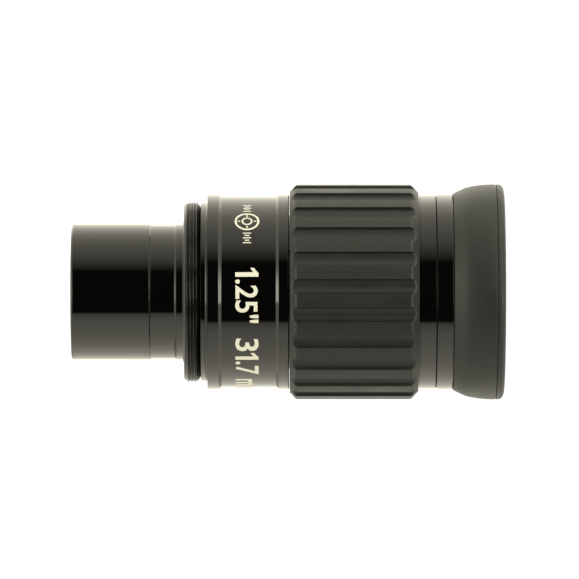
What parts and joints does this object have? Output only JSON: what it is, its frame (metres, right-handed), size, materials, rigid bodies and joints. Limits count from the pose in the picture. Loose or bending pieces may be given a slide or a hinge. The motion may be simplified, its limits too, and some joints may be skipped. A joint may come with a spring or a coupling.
{
  "type": "telescope eyepiece",
  "caption": "Telescope eyepiece with a push-fit barrel, a camera thread, a fluted rubber grip and an eyecup that rises as the grip is turned.",
  "frame": {"origin": "centre of the barrel's open end, the end that goes into the telescope, on the optical axis", "axes": "+Z along the optical axis from the telescope towards the eye; X and Y are square to it, and the printed marks face -Y"},
  "size_m": [0.05, 0.05, 0.1004],
  "materials": {
    "black_chrome": "gloss",
    "gloss_black": "gloss",
    "thread_black": "satin",
    "inner_black": "matte",
    "grip_rubber": "matte",
    "cup_rubber": "matte",
    "coated_glass": "polished",
    "steel": "satin",
    "washer_bronze": "satin",
    "seal_felt": "matte"
  },
  "bodies": {
    "housing": {"nosepiece": "black_chrome", "lower_lens_cell": "inner_black", "field_lens_front": "coated_glass", "field_lens_rear": "coated_glass", "lower_retaining_ring": "inner_black", "thread_collar": "thread_black", "main_housing": "gloss_black", "housing_grub_screw_1": "steel", "housing_grub_screw_2": "steel", "housing_grub_screw_3": "steel", "baffle_ring": "inner_black", "slip_washer": "washer_bronze", "lock_ring": "inner_black", "inner_tube": "inner_black", "guide_pin_1": "steel", "guide_pin_2": "steel", "guide_pin_3": "steel", "field_stop": "inner_black", "group_retaining_ring": "inner_black", "meniscus_lens": "coated_glass", "lens_spacer": "inner_black", "doublet_lens_lower": "coated_glass", "doublet_lens_upper": "coated_glass", "eye_lens_inner": "coated_glass", "eye_lens_outer": "coated_glass", "eye_retaining_ring": "inner_black"},
    "grip": {"grip_ring": "gloss_black", "dust_seal": "seal_felt", "rubber_grip": "grip_rubber"},
    "eyecup": {"eyecup_sleeve": "inner_black", "eyecup_ring": "gloss_black", "rubber_eyecup": "cup_rubber"}
  },
  "joints": [
    {"name": "grip_turn", "type": "hinge", "parent": "housing", "child": "grip", "pos_m": [0, 0, 0.0675], "axis": [0, 0, 1], "range_deg": [0, 120]},
    {"name": "eyecup_rise", "type": "slide", "parent": "grip", "child": "eyecup", "axis": [0, 0, 1], "range_m": [0, 0.009]}
  ],
  "couplings": [
    {"joint": "eyecup_rise", "follows": "grip_turn", "m_per_rad": 0.004297}
  ]
}
